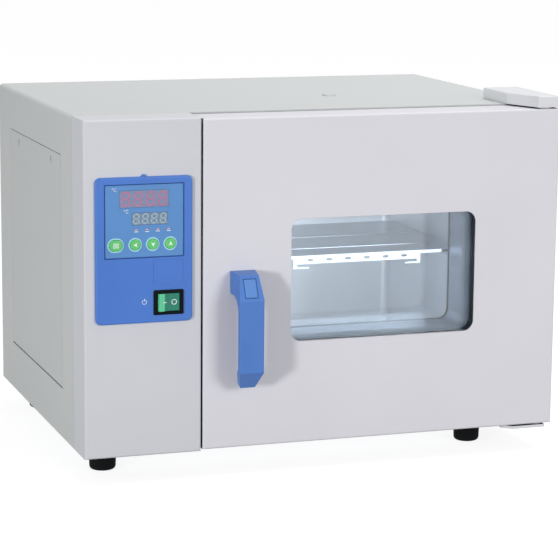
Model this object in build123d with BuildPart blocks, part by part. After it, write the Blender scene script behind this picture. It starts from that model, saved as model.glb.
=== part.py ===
from build123d import *
import math
import os

# Bench incubator with a glazed door, in millimetres.
# X runs to the right seen from the front, Y to the back and Z up.
# The origin lies on the table, under the middle of the whole object.

# Cabinet
body_width = 530.0
body_height = 352.0
body_depth = 405.0
sheet = 1.5
roof_edge_radius = 5.0
paint_seam = 0.5
screw_clearance = 0.1

# Feet
foot_height = 28.0
foot_radius = 15.0
foot_side_inset = 35.0
foot_front_inset = 65.0
foot_back_inset = 50.0
foot_hinge_inset = 73.0
foot_taper = 1.0
foot_edge_radius = 4.0
foot_recess_radius = 7.0
foot_recess_depth = 12.0
foot_screw_radius = 2.5
foot_screw_head_radius = 5.0
foot_screw_head_height = 3.5

# Control column at the left
fascia_width = 125.0
front_edge_radius = 2.0
bezel_width = 103.0
bezel_height = 152.0
bezel_radius = 6.0
bezel_edge_radius = 1.8
bezel_proud = 3.5
bezel_from_left = 63.0
bezel_from_top = 134.5
bezel_skirt_step = 4.0
bezel_skirt_depth = 14.0
bezel_skirt_wall = 2.0
bezel_nib_radius = 2.5
bezel_nib_thickness = 1.8
fit_gap = 0.2

# Display area, placed from the middle of the bezel
display_width = 83.0
display_height = 75.0
display_rise = 30.5
display_radius = 2.0
display_pocket_depth = 1.8
display_plate_thickness = 1.2
upper_digits_width = 52.0
upper_digits_height = 17.5
upper_digits_rise = 53.3
lower_digits_width = 38.0
lower_digits_height = 12.5
lower_digits_rise = 32.8
lower_digits_shift = 5.9
digits_recess = 0.2
lamp_width = 3.0
lamp_height = 1.6
lamp_pitch = 11.5
lamp_count = 4
lamp_shift = 8.75
lamp_rise = 21.5
board_thickness = 1.6
board_margin = 2.0

# Push buttons
button_radius = 5.5
button_pitch = 18.6
button_count = 3
button_shift = 8.9
button_rise = 6.2
oval_button_width = 14.0
oval_button_height = 11.5
oval_button_shift = -30.3
button_gap = 0.25
button_proud = 1.4
button_travel = 0.8
contact_height = 0.5
button_edge_radius = 0.9
button_flange = 1.0
button_flange_thickness = 0.8
button_flange_gap = 0.1
button_ring_width = 1.5
button_ring_thickness = 0.4

# Bare recess between the buttons and the switch
recess_width = 32.0
recess_height = 25.0
recess_depth = 0.4
recess_shift = 25.5
recess_drop = 23.0

# Rocker switch
switch_shift = 25.5
switch_drop = 55.0
switch_flange_width = 32.0
switch_flange_height = 26.0
switch_flange_thickness = 1.5
switch_flange_radius = 1.5
switch_edge_radius = 0.7
switch_body_width = 28.4
switch_body_height = 22.2
switch_body_depth = 20.0
switch_well_width = 23.8
switch_well_height = 18.6
rocker_side_gap = 0.3
rocker_end_gap = 0.2
rocker_tip_angle = 20.0
rocker_half_throw = 9.0
rocker_sink = 0.4
rocker_pin_radius = 1.5
rocker_pin_length = 1.0
rocker_pin_gap = 0.05
rocker_well_spare = 2.0

# Side cover of the control column
cover_front = 97.0
cover_from_back = 60.0
cover_back = body_depth - cover_from_back
cover_low = 54.0
cover_from_roof = 46.0
cover_high = body_height - cover_from_roof
cover_seam = 0.6
cover_slot = 2.0
cover_rim = 10.0
cover_rim_top = 20.0
cover_screw_inset = 45.0
cover_screw_drop = 11.0
cover_screw_head_radius = 4.0
cover_screw_radius = 2.0
cover_screw_length = 5.0

# Door
door_gap = 2.0
door_depth = 44.0
door_end_gap = 1.5
seal_gap = 4.0
seal_width = 8.0
seal_margin = 2.0
seal_rest_gap = 0.2
seal_edge_radius = 1.0
plug_depth = 31.0
plug_side_gap = 6.0
plug_radius = 8.0

# Window through the door
window_stile = 96.5
window_rail = 110.5
window_radius = 11.5
window_rise = 1.0
window_rim = 8.0
gasket_depth = 8.5
pane_thickness = 4.0
spacer_depth = 21.0

# Chamber
chamber_side_wall = 76.5
chamber_end_wall = 51.0
chamber_depth = 255.0
chamber_radius = 10.0
chamber_back_radius = 9.0
liner_sheet = 1.0
liner_flange = 6.0
wool_joint = 0.5

# Shelf
shelf_rise = 137.3
shelf_setback = 5.0
shelf_back_gap = 19.5
shelf_side_gap = 3.0
shelf_sheet = 1.0
shelf_corner_radius = 6.0
lip_width = 149.0
lip_height = 9.3
lip_end_height = 3.5
lip_slot_pitch = 22.0
lip_slot_count = 6
lip_slot_width = 7.0
lip_slot_height = 3.0
lip_foot_width = 4.0
lip_foot_height = 5.0
lip_foot_reach = 18.0
lip_foot_thickness = 1.6
shelf_bead_radius = 0.9
shelf_bead_inset = 14.0
shelf_bead_setbacks = (43.0, 115.0)
rail_width = 10.0
rail_height = 14.0
rail_sheet = 1.2
rail_spare = 4.0

# Heating and measuring
heater_side_margin = 20.0
heater_end_margin = 27.5
heater_thickness = 3.0
probe_radius = 2.5
probe_length = 35.0
probe_tip_radius = 1.2
probe_gland_radius = 7.0
probe_gland_length = 4.0
probe_from_top = 38.0
probe_from_side = 55.0

# Thermometer port in the roof
port_tube_radius = 6.0
port_bore_radius = 4.5
plug_stem_gap = 0.1
plug_stem_length = 14.0
port_cap_radius = 7.5
port_cap_thickness = 2.0
port_cap_edge_radius = 0.8

# Hinges
hinge_from_right = 14.0
hinge_from_front = 12.0
hinge_pin_radius = 4.0
hinge_pin_gap = 0.05
hinge_pin_reach = 14.0
bush_radius = 6.0
bush_flange_radius = 8.0
bush_flange_gap = 0.3
bush_length = 16.0
hinge_plate_thickness = 3.0
cap_width = 42.0
cap_depth = 108.0
cap_height = 12.0
cap_wall = 2.0
cap_cut_width = 18.0
cap_cut_depth = 45.0
cap_edge_inset = 1.0
cap_corner_radius = 2.0
cap_top_radius = 1.2
hinge_plate_gap = 0.5
foot_plate_width = 48.0
foot_plate_depth = 110.0
foot_plate_right_inset = 7.0
foot_plate_cut = 10.0
foot_plate_radius = 2.0

# Door handle
handle_from_door_edge = 42.5
handle_above_middle = 3.0
handle_width = 26.7
handle_reach = 34.5
handle_gap = 0.5
boss_half_height = 12.0
boss_top_reach = 22.0
boss_top_drop = 1.5
boss_top_half_width = 10.5
boss_bottom_flat = 10.0
facet_drop = 15.0
grip_length = 90.5
grip_thickness = 7.0
grip_end_drop = 18.5
grip_end_retreat = 14.5
grip_end_half_width = 8.0
handle_edge_radius = 1.2
inset_width = 13.0
inset_length = 19.5
inset_depth = 0.8
inset_gap = 0.15
spindle_radius = 6.0
spindle_socket_depth = 14.0
spindle_gap = 0.05
handle_bush_radius = 9.0

# Latch behind the door
latch_pocket_width = 50.0
latch_pocket_height = 58.0
latch_pocket_depth = 12.0
latch_pocket_shift = -4.5
latch_pocket_radius = 3.0
latch_hub_radius = 11.0
latch_arm_length = 24.0
latch_arm_width = 11.0
latch_arm_thickness = 5.0
latch_arm_gap = 2.0
latch_bevel = 1.2
latch_bevel_angle = 26.0
nut_across_flats = 18.0
nut_thickness = 4.5
keeper_reach = 14.0
keeper_land = 8.5
keeper_width = 16.0
keeper_thickness = 0.8
keeper_bead_radius = 0.7

# Back panel
vent_count = 8
vent_width = 60.0
vent_height = 4.0
vent_pitch = 11.0
vent_from_top = 95.0
base_vent_count = 9
base_vent_length = 70.0
base_vent_width = 4.0
base_vent_pitch = 14.0
inlet_from_bottom = 70.0
inlet_flange_width = 50.0
inlet_flange_height = 25.0
inlet_flange_thickness = 2.0
inlet_flange_radius = 3.0
inlet_body_width = 28.0
inlet_body_height = 20.0
inlet_body_depth = 22.0
inlet_well_width = 24.0
inlet_well_height = 16.0
inlet_well_depth = 16.0
inlet_well_cut = 4.0
inlet_pin_width = 4.0
inlet_pin_thickness = 2.0
inlet_pin_length = 13.0
inlet_pin_pitch = 7.0
inlet_pin_rise = 3.0
screw_head_radius = 4.0
screw_head_height = 2.2
screw_dome_radius = 1.1
screw_inset = 8.0

# Mains parts in the control column
power_board_depth = 110.0
power_board_height = 90.0
power_board_stand = 6.0
power_board_rise = 150.0
stand_radius = 3.0
stand_inset = 7.0
transformer_width = 34.0
transformer_depth = 42.0
transformer_height = 38.0
relay_width = 16.0
relay_depth = 20.0
relay_height = 28.0

# Places worked out from the sizes above
left = -body_width / 2
right = body_width / 2
whole_depth = handle_reach + body_depth + screw_head_height
front = -whole_depth / 2 + handle_reach
back = front + body_depth
floor = foot_height
roof = floor + body_height
middle = floor + body_height / 2
door_back = front + door_depth
frame_front = door_back + seal_gap
frame_back = frame_front + sheet
panel_front = back - sheet
fascia_right = left + fascia_width
fascia_back = frame_front - paint_seam
door_left = fascia_right + door_gap
door_width = right - door_left
door_centre = door_left + door_width / 2
door_height = body_height - 2 * door_end_gap
door_bottom = floor + door_end_gap
door_top = roof - door_end_gap
plug_back = door_back + plug_depth
chamber_centre = (door_centre, middle)
chamber_width = door_width - 2 * chamber_side_wall
chamber_height = body_height - 2 * chamber_end_wall
chamber_back = frame_back + chamber_depth
chamber_low = middle - chamber_height / 2
chamber_high = middle + chamber_height / 2
port_depth = frame_back + chamber_depth / 2
window_centre = (door_centre, middle + window_rise)
window_width = door_width - 2 * window_stile
window_height = body_height - 2 * window_rail
bezel_x = left + bezel_from_left
bezel_z = roof - bezel_from_top
bezel_front = front - bezel_proud
pocket_floor = bezel_front + display_pocket_depth
plate_front = pocket_floor - display_plate_thickness
button_z = bezel_z + button_rise
board_gap = button_flange_gap + button_flange_thickness + button_travel + contact_height
hinge_x = right - hinge_from_right
hinge_y = front + hinge_from_front
handle_x = door_left + handle_from_door_edge
handle_z = middle + handle_above_middle
shelf_top = chamber_low + shelf_rise
shelf_front = plug_back + shelf_setback
shelf_depth = chamber_back - shelf_back_gap - shelf_front

os.makedirs("parts", exist_ok=True)


def save(piece, name):
    """Labels a finished piece and writes its file."""
    piece.part.label = name
    export_step(piece.part, f"parts/{name}.step")


def facing(depth):
    """The upright plane at a depth, seen from the front: its x is X and its y is Z."""
    return Plane.XZ.offset(-depth)


def slab(near, far, centre, size, radius=0.0, mode=Mode.ADD):
    """An upright block between two depths, with rounded corners in the front view."""
    with BuildSketch(facing(near)) as outline:
        with Locations(centre):
            if radius > 0:
                RectangleRounded(size[0], size[1], radius)
            else:
                Rectangle(size[0], size[1])
    extrude(outline.sketch, amount=near - far, mode=mode)


def rod(near, far, centre, radius, mode=Mode.ADD):
    """A round bar or bore that runs from the front to the back."""
    with BuildSketch(facing(near)) as outline:
        with Locations(centre):
            Circle(radius)
    extrude(outline.sketch, amount=near - far, mode=mode)


def post(low, high, centre, radius, mode=Mode.ADD):
    """An upright round bar or bore."""
    with BuildSketch(Plane.XY.offset(low)) as outline:
        with Locations(centre):
            Circle(radius)
    extrude(outline.sketch, amount=high - low, mode=mode)


def tile(low, high, centre, size, mode=Mode.ADD):
    """A level block between two heights."""
    with BuildSketch(Plane.XY.offset(low)) as outline:
        with Locations(centre):
            Rectangle(size[0], size[1])
    extrude(outline.sketch, amount=high - low, mode=mode)


def front_edges(piece):
    """The edges round the foremost face of a piece."""
    return piece.faces().sort_by(Axis.Y)[0].outer_wire().edges()


# Cabinet: a wrap of folded sheet over the roof and both sides
with BuildPart() as outer_shell:
    with BuildSketch(facing(frame_front)):
        with BuildLine():
            FilletPolyline(
                (left, floor), (left, roof), (right, roof), (right, floor), radius=roof_edge_radius
            )
            offset(amount=sheet, side=Side.RIGHT)
        make_face()
    extrude(amount=frame_front - panel_front)
    with BuildSketch(Plane.YZ.offset(left)):
        with Locations((front + (cover_front + cover_back) / 2, floor + (cover_low + cover_high) / 2)):
            Rectangle(cover_back - cover_front, cover_high - cover_low)
    extrude(amount=sheet, mode=Mode.SUBTRACT)
    post(roof - sheet, roof, (door_centre, port_depth), port_tube_radius + plug_stem_gap, Mode.SUBTRACT)
save(outer_shell, "outer_shell")

foot_places = [
    (left + foot_side_inset, front + foot_front_inset),
    (right - foot_hinge_inset, front + foot_front_inset),
    (left + foot_side_inset, back - foot_back_inset),
    (right - foot_side_inset, back - foot_back_inset),
]

# Floor sheet, with air slots under the control column
column_middle = (left + fascia_right) / 2
body_middle_depth = (frame_front + panel_front) / 2
with BuildPart() as base_pan:
    tile(
        floor,
        floor + sheet,
        (0, body_middle_depth),
        (body_width - 2 * sheet, panel_front - frame_front),
    )
    with BuildSketch(Plane.XY.offset(floor)):
        with Locations((column_middle, body_middle_depth)):
            with GridLocations(0, base_vent_pitch, 1, base_vent_count):
                SlotOverall(base_vent_length, base_vent_width)
        with Locations(*foot_places):
            Circle(foot_screw_radius + screw_clearance)
    extrude(amount=sheet, mode=Mode.SUBTRACT)
save(base_pan, "base_pan")

# Back panel, with its air slots and the cut-out of the mains inlet
inlet_centre = (column_middle, floor + inlet_from_bottom)
with BuildPart() as back_panel:
    with BuildSketch(facing(panel_front)) as panel_outline:
        with Locations((0, middle)):
            Rectangle(body_width, body_height)
        fillet(panel_outline.vertices().group_by(Axis.Y)[-1], roof_edge_radius)
        with Locations((column_middle, roof - vent_from_top)):
            with GridLocations(0, vent_pitch, 1, vent_count):
                SlotOverall(vent_width, vent_height, mode=Mode.SUBTRACT)
        with Locations(inlet_centre):
            Rectangle(
                inlet_body_width + 2 * fit_gap, inlet_body_height + 2 * fit_gap, mode=Mode.SUBTRACT
            )
    extrude(amount=-sheet)
save(back_panel, "back_panel")

back_screw_places = [
    (side * (body_width / 2 - screw_inset), height)
    for side in (-1, 1)
    for height in (floor + screw_inset, middle, roof - screw_inset)
]
back_screw_places += [(fascia_right, floor + screw_inset), (fascia_right, roof - screw_inset)]
with BuildPart() as back_screws:
    for place in back_screw_places:
        rod(back, back + screw_head_height, place, screw_head_radius)
    fillet(back_screws.faces().filter_by(Axis.Y).group_by(Axis.Y)[-1].edges(), screw_dome_radius)
save(back_screws, "back_screws")

# Mains inlet: a flanged body with a well and three flat pins
with BuildPart() as power_inlet:
    slab(
        back,
        back + inlet_flange_thickness,
        inlet_centre,
        (inlet_flange_width, inlet_flange_height),
        inlet_flange_radius,
    )
    slab(back - inlet_body_depth, back, inlet_centre, (inlet_body_width, inlet_body_height))
    with BuildSketch(facing(back + inlet_flange_thickness)) as well:
        with Locations(inlet_centre):
            Rectangle(inlet_well_width, inlet_well_height)
        chamfer(well.vertices().group_by(Axis.Y)[-1], inlet_well_cut)
    extrude(amount=inlet_well_depth, mode=Mode.SUBTRACT)
save(power_inlet, "power_inlet")

inlet_well_floor = back + inlet_flange_thickness - inlet_well_depth
with BuildPart() as inlet_pins:
    for step, rise in ((-1, 0), (0, inlet_pin_rise), (1, 0)):
        slab(
            inlet_well_floor,
            inlet_well_floor + inlet_pin_length,
            (inlet_centre[0] + step * inlet_pin_pitch, inlet_centre[1] + rise),
            (inlet_pin_thickness, inlet_pin_width),
        )
save(inlet_pins, "inlet_pins")

# Sheet between the control column and the insulated part
with BuildPart() as partition:
    slab(
        frame_front,
        panel_front,
        (door_left + sheet / 2, middle),
        (sheet, body_height - 2 * sheet),
    )
save(partition, "partition")

insulated_left = door_left + sheet
insulated_right = right - sheet
insulated_size = (insulated_right - insulated_left, body_height - 2 * sheet)
insulated_centre = ((insulated_left + insulated_right) / 2, middle)
pocket_centre = (handle_x + latch_pocket_shift, handle_z)
pocket_size = (latch_pocket_width, latch_pocket_height)

# Front sheet round the mouth of the chamber, with the hole of the latch pocket
with BuildPart() as front_frame:
    slab(frame_front, frame_back, insulated_centre, insulated_size)
    top_right_edge = front_frame.edges().filter_by(Axis.Y).group_by(Axis.Z)[-1].sort_by(Axis.X)[-1]
    fillet(top_right_edge, roof_edge_radius)
    slab(
        frame_front,
        frame_back,
        chamber_centre,
        (chamber_width, chamber_height),
        chamber_radius,
        Mode.SUBTRACT,
    )
    slab(frame_front, frame_back, pocket_centre, pocket_size, latch_pocket_radius, Mode.SUBTRACT)
save(front_frame, "front_frame")

pocket_outer_size = (latch_pocket_width + 2 * sheet, latch_pocket_height + 2 * sheet)
with BuildPart() as latch_pocket:
    slab(
        frame_back,
        frame_back + latch_pocket_depth + sheet,
        pocket_centre,
        pocket_outer_size,
        latch_pocket_radius + sheet,
    )
    slab(
        frame_back,
        frame_back + latch_pocket_depth,
        pocket_centre,
        pocket_size,
        latch_pocket_radius,
        Mode.SUBTRACT,
    )
save(latch_pocket, "latch_pocket")


def chamber_form(skin):
    """The space of the chamber, grown by a skin on every side but the front."""
    with BuildPart() as form:
        with BuildSketch(facing(frame_back)):
            with Locations(chamber_centre):
                RectangleRounded(
                    chamber_width + 2 * skin, chamber_height + 2 * skin, chamber_radius + skin
                )
        extrude(amount=-(chamber_depth + skin))
        fillet(form.faces().sort_by(Axis.Y)[-1].edges(), chamber_back_radius + skin)
    return form.part


# Chamber liner: a deep-drawn tub with a narrow flange behind the front sheet
flange_size = (
    chamber_width + 2 * (liner_sheet + liner_flange),
    chamber_height + 2 * (liner_sheet + liner_flange),
)
with BuildPart() as chamber_liner:
    slab(
        frame_back,
        frame_back + liner_sheet,
        chamber_centre,
        flange_size,
        chamber_radius + liner_sheet + liner_flange,
    )
    add(chamber_form(liner_sheet))
    add(chamber_form(0), mode=Mode.SUBTRACT)
    post(
        chamber_high,
        chamber_high + liner_sheet,
        (door_centre, port_depth),
        port_tube_radius + plug_stem_gap,
        Mode.SUBTRACT,
    )
save(chamber_liner, "chamber_liner")

# Insulation: wool packs round the liner, cut to meet with a narrow joint
heater_centre = (door_centre, port_depth)
heater_top = chamber_low - liner_sheet
heater_size = (chamber_width - 2 * heater_side_margin, chamber_depth - 2 * heater_end_margin)
wool_low = floor + sheet
wool_high = roof - sheet
liner_left = door_centre - chamber_width / 2 - liner_sheet
liner_right = door_centre + chamber_width / 2 + liner_sheet
liner_low = chamber_low - liner_sheet
liner_high = chamber_high + liner_sheet
liner_back = chamber_back + liner_sheet


def wool_pack(near, far, low_corner, high_corner):
    """One upright-sided pack between two depths, from one corner to the other in the front view."""
    size = (high_corner[0] - low_corner[0], high_corner[1] - low_corner[1])
    centre = ((low_corner[0] + high_corner[0]) / 2, (low_corner[1] + high_corner[1]) / 2)
    slab(near, far, centre, size)


with BuildPart() as insulation:
    wool_pack(
        frame_back,
        panel_front,
        (insulated_left, wool_low),
        (insulated_right, liner_low - wool_joint),
    )
    wool_pack(
        frame_back,
        panel_front,
        (insulated_left, liner_high + wool_joint),
        (insulated_right, wool_high),
    )
    roof_right_edge = insulation.edges().filter_by(Axis.Y).group_by(Axis.Z)[-1].sort_by(Axis.X)[-1]
    fillet(roof_right_edge, roof_edge_radius)
    wool_pack(frame_back, panel_front, (insulated_left, liner_low), (liner_left, liner_high))
    wool_pack(frame_back, panel_front, (liner_right, liner_low), (insulated_right, liner_high))
    wool_pack(
        liner_back,
        panel_front,
        (liner_left + wool_joint, liner_low),
        (liner_right - wool_joint, liner_high),
    )
    slab(
        frame_back,
        frame_back + liner_sheet,
        chamber_centre,
        flange_size,
        chamber_radius + liner_sheet + liner_flange,
        Mode.SUBTRACT,
    )
    slab(
        frame_back,
        frame_back + latch_pocket_depth + sheet,
        pocket_centre,
        pocket_outer_size,
        latch_pocket_radius + sheet,
        Mode.SUBTRACT,
    )
    tile(heater_top - heater_thickness, heater_top, heater_centre, heater_size, Mode.SUBTRACT)
    post(
        liner_high,
        roof,
        (door_centre, port_depth),
        port_tube_radius + plug_stem_gap,
        Mode.SUBTRACT,
    )
save(insulation, "insulation")

with BuildPart() as heater_pad:
    tile(heater_top - heater_thickness, heater_top, heater_centre, heater_size)
save(heater_pad, "heater_pad")

# Temperature probe on the back wall of the chamber
probe_centre = (door_centre + chamber_width / 2 - probe_from_side, chamber_high - probe_from_top)
with BuildPart() as temperature_probe:
    rod(chamber_back - probe_gland_length, chamber_back, probe_centre, probe_gland_radius)
    rod(chamber_back - probe_length, chamber_back, probe_centre, probe_radius)
    fillet(front_edges(temperature_probe), probe_tip_radius)
save(temperature_probe, "temperature_probe")

# Shelf rails: two angles on the side walls of the chamber
rail_front = shelf_front
rail_back = shelf_front + shelf_depth + rail_spare
rail_top = shelf_top - shelf_sheet
with BuildPart() as shelf_rails:
    for side in (-1, 1):
        wall = door_centre + side * chamber_width / 2
        slab(
            rail_front,
            rail_back,
            (wall - side * rail_width / 2, rail_top - rail_sheet / 2),
            (rail_width, rail_sheet),
        )
        slab(
            rail_front,
            rail_back,
            (wall - side * rail_sheet / 2, rail_top - rail_height / 2),
            (rail_sheet, rail_height),
        )
save(shelf_rails, "shelf_rails")

# Shelf: a sheet with two pressed beads, whose front edge is turned down with a deeper slotted middle
shelf_width = chamber_width - 2 * shelf_side_gap
lip_foot_z = shelf_top - lip_height - lip_foot_height
with BuildPart() as shelf:
    with BuildSketch(Plane.XY.offset(rail_top)) as shelf_outline:
        with Locations((door_centre, shelf_front + shelf_depth / 2)):
            Rectangle(shelf_width, shelf_depth)
        fillet(shelf_outline.vertices().group_by(Axis.Y)[-1], shelf_corner_radius)
    extrude(amount=shelf_sheet)
    for setback in shelf_bead_setbacks:
        with BuildSketch(Plane.YZ.offset(door_centre - shelf_width / 2 + shelf_bead_inset)):
            with Locations((shelf_front + setback, shelf_top)):
                Circle(shelf_bead_radius)
        extrude(amount=shelf_width - 2 * shelf_bead_inset)
    with BuildSketch(facing(shelf_front)):
        with Locations((door_centre, shelf_top)):
            Rectangle(
                shelf_width - 2 * rail_width, lip_end_height, align=(Align.CENTER, Align.MAX)
            )
            Rectangle(lip_width, lip_height, align=(Align.CENTER, Align.MAX))
        for side in (-1, 1):
            with Locations((door_centre + side * (lip_width - lip_foot_width) / 2, lip_foot_z)):
                Rectangle(lip_foot_width, lip_foot_height, align=(Align.CENTER, Align.MIN))
            with Locations((door_centre + side * (lip_width - lip_foot_reach) / 2, lip_foot_z)):
                Rectangle(lip_foot_reach, lip_foot_thickness, align=(Align.CENTER, Align.MIN))
        with Locations((door_centre, shelf_top - (lip_height + shelf_sheet) / 2)):
            with GridLocations(lip_slot_pitch, 0, lip_slot_count, 1):
                SlotOverall(lip_slot_width, lip_slot_height, mode=Mode.SUBTRACT)
    extrude(amount=-shelf_sheet)
save(shelf, "shelf")

# Control column: a folded fascia that is open at the back
fascia_centre = ((left + fascia_right) / 2, middle)
skirt_size = (bezel_width - 2 * bezel_skirt_step, bezel_height - 2 * bezel_skirt_step)
with BuildPart() as control_fascia:
    slab(front, fascia_back, fascia_centre, (fascia_width, body_height))
    fillet(front_edges(control_fascia), front_edge_radius)
    slab(
        front + sheet,
        fascia_back,
        fascia_centre,
        (fascia_width - 2 * sheet, body_height - 2 * sheet),
        0,
        Mode.SUBTRACT,
    )
    slab(
        front,
        front + sheet,
        (bezel_x, bezel_z),
        (skirt_size[0] + 2 * fit_gap, skirt_size[1] + 2 * fit_gap),
        bezel_radius - bezel_skirt_step + fit_gap,
        Mode.SUBTRACT,
    )
save(control_fascia, "control_fascia")

display_centre = (bezel_x, bezel_z + display_rise)
upper_digits_centre = (bezel_x, bezel_z + upper_digits_rise)
lower_digits_centre = (bezel_x + lower_digits_shift, bezel_z + lower_digits_rise)
switch_centre = (bezel_x + switch_shift, bezel_z - switch_drop)
oval_centre = (bezel_x + oval_button_shift, button_z)
round_centres = [
    (bezel_x + button_shift + (n - (button_count - 1) / 2) * button_pitch, button_z)
    for n in range(button_count)
]
lamp_centres = [
    (bezel_x + lamp_shift + (n - (lamp_count - 1) / 2) * lamp_pitch, bezel_z + lamp_rise)
    for n in range(lamp_count)
]


def cut_panel_holes(near, far):
    """The holes for digits, lamps and buttons, through a layer of the panel."""
    with BuildSketch(facing(near)) as holes:
        with Locations(upper_digits_centre):
            Rectangle(upper_digits_width + 2 * fit_gap, upper_digits_height + 2 * fit_gap)
        with Locations(lower_digits_centre):
            Rectangle(lower_digits_width + 2 * fit_gap, lower_digits_height + 2 * fit_gap)
        with Locations(*lamp_centres):
            Rectangle(lamp_width + 2 * fit_gap, lamp_height + 2 * fit_gap)
        with Locations(*round_centres):
            Circle(button_radius + button_gap)
        with Locations(oval_centre):
            SlotOverall(oval_button_width + 2 * button_gap, oval_button_height + 2 * button_gap)
    extrude(holes.sketch, amount=near - far, mode=Mode.SUBTRACT)


# Blue bezel with a skirt that locates it in the fascia
with BuildPart() as panel_bezel:
    slab(bezel_front, front, (bezel_x, bezel_z), (bezel_width, bezel_height), bezel_radius)
    fillet(front_edges(panel_bezel), bezel_edge_radius)
    slab(
        front,
        front + bezel_skirt_depth,
        (bezel_x, bezel_z),
        skirt_size,
        bezel_radius - bezel_skirt_step,
    )
    slab(
        front,
        front + bezel_skirt_depth,
        (bezel_x, bezel_z),
        (skirt_size[0] - 2 * bezel_skirt_wall, skirt_size[1] - 2 * bezel_skirt_wall),
        0,
        Mode.SUBTRACT,
    )
    rod(front - bezel_nib_thickness, front, (bezel_x, bezel_z + bezel_height / 2), bezel_nib_radius)
    slab(
        bezel_front,
        pocket_floor,
        display_centre,
        (display_width, display_height),
        display_radius,
        Mode.SUBTRACT,
    )
    cut_panel_holes(pocket_floor, front)
    slab(
        bezel_front,
        bezel_front + recess_depth,
        (bezel_x + recess_shift, bezel_z - recess_drop),
        (recess_width, recess_height),
        display_radius,
        Mode.SUBTRACT,
    )
    slab(
        bezel_front,
        front,
        switch_centre,
        (switch_body_width + 2 * fit_gap, switch_body_height + 2 * fit_gap),
        0,
        Mode.SUBTRACT,
    )
save(panel_bezel, "panel_bezel")

with BuildPart() as display_plate:
    slab(
        plate_front,
        pocket_floor,
        display_centre,
        (display_width - 2 * fit_gap, display_height - 2 * fit_gap),
        display_radius,
    )
    cut_panel_holes(plate_front, pocket_floor)
save(display_plate, "display_plate")

with BuildPart() as display_upper:
    slab(
        plate_front + digits_recess,
        front + board_gap,
        upper_digits_centre,
        (upper_digits_width, upper_digits_height),
    )
save(display_upper, "display_upper")

with BuildPart() as display_lower:
    slab(
        plate_front + digits_recess,
        front + board_gap,
        lower_digits_centre,
        (lower_digits_width, lower_digits_height),
    )
save(display_lower, "display_lower")

with BuildPart() as indicator_lamps:
    for centre in lamp_centres:
        slab(plate_front + digits_recess, front + board_gap, centre, (lamp_width, lamp_height))
save(indicator_lamps, "indicator_lamps")

with BuildPart() as controller_board:
    slab(
        front + board_gap,
        front + board_gap + board_thickness,
        display_centre,
        (display_width - 2 * board_margin, display_height - 2 * board_margin),
    )
save(controller_board, "controller_board")

# Pale rings round the buttons
with BuildPart() as button_rings:
    with BuildSketch(facing(plate_front)):
        with Locations(*round_centres):
            Circle(button_radius + button_gap + button_ring_width)
        with Locations(oval_centre):
            SlotOverall(
                oval_button_width + 2 * (button_gap + button_ring_width),
                oval_button_height + 2 * (button_gap + button_ring_width),
            )
        with Locations(*round_centres):
            Circle(button_radius + button_gap, mode=Mode.SUBTRACT)
        with Locations(oval_centre):
            SlotOverall(
                oval_button_width + 2 * button_gap,
                oval_button_height + 2 * button_gap,
                mode=Mode.SUBTRACT,
            )
    extrude(amount=button_ring_thickness)
save(button_rings, "button_rings")

button_face = bezel_front - button_proud
button_flange_front = front + button_flange_gap
button_flange_back = button_flange_front + button_flange_thickness

with BuildPart() as button_set:
    with BuildSketch(facing(button_face)):
        with Locations(oval_centre):
            SlotOverall(oval_button_width, oval_button_height)
    extrude(amount=button_face - button_flange_back)
    fillet(front_edges(button_set), button_edge_radius)
    with BuildSketch(facing(button_flange_front)):
        with Locations(oval_centre):
            SlotOverall(oval_button_width + 2 * button_flange, oval_button_height + 2 * button_flange)
    extrude(amount=-button_flange_thickness)
save(button_set, "button_set")

for name, centre in zip(("button_left", "button_down", "button_up"), round_centres):
    with BuildPart() as round_button:
        rod(button_face, button_flange_back, centre, button_radius)
        fillet(front_edges(round_button), button_edge_radius)
        rod(button_flange_front, button_flange_back, centre, button_radius + button_flange)
    save(round_button, name)

# Rocker switch: the housing's well holds a rocker that tips about an upright pin
rocker_radius = switch_well_width / 2 - rocker_side_gap
rocker_height = switch_well_height - 2 * rocker_end_gap
tip_angle = math.radians(rocker_tip_angle)
half_throw = math.radians(rocker_half_throw)
tip_x = rocker_radius * math.cos(tip_angle)
tip_y = rocker_radius * math.sin(tip_angle)
waist = tip_y - tip_x * math.tan(half_throw)
flush_level = waist * math.cos(half_throw)
switch_front = bezel_front - switch_flange_thickness
rocker_y = switch_front + rocker_sink + flush_level
well_floor = rocker_y + tip_y + rocker_well_spare
rocker_pin_top = rocker_height / 2 + rocker_pin_length

with BuildPart() as switch_housing:
    slab(
        switch_front,
        bezel_front,
        switch_centre,
        (switch_flange_width, switch_flange_height),
        switch_flange_radius,
    )
    fillet(front_edges(switch_housing), switch_edge_radius)
    slab(
        bezel_front,
        front + switch_body_depth,
        switch_centre,
        (switch_body_width, switch_body_height),
    )
    slab(
        switch_front,
        well_floor,
        switch_centre,
        (switch_well_width, switch_well_height),
        0,
        Mode.SUBTRACT,
    )
    post(
        switch_centre[1] - rocker_pin_top - rocker_pin_gap,
        switch_centre[1] + rocker_pin_top + rocker_pin_gap,
        (switch_centre[0], rocker_y),
        rocker_pin_radius + rocker_pin_gap,
        Mode.SUBTRACT,
    )
save(switch_housing, "switch_housing")

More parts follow.
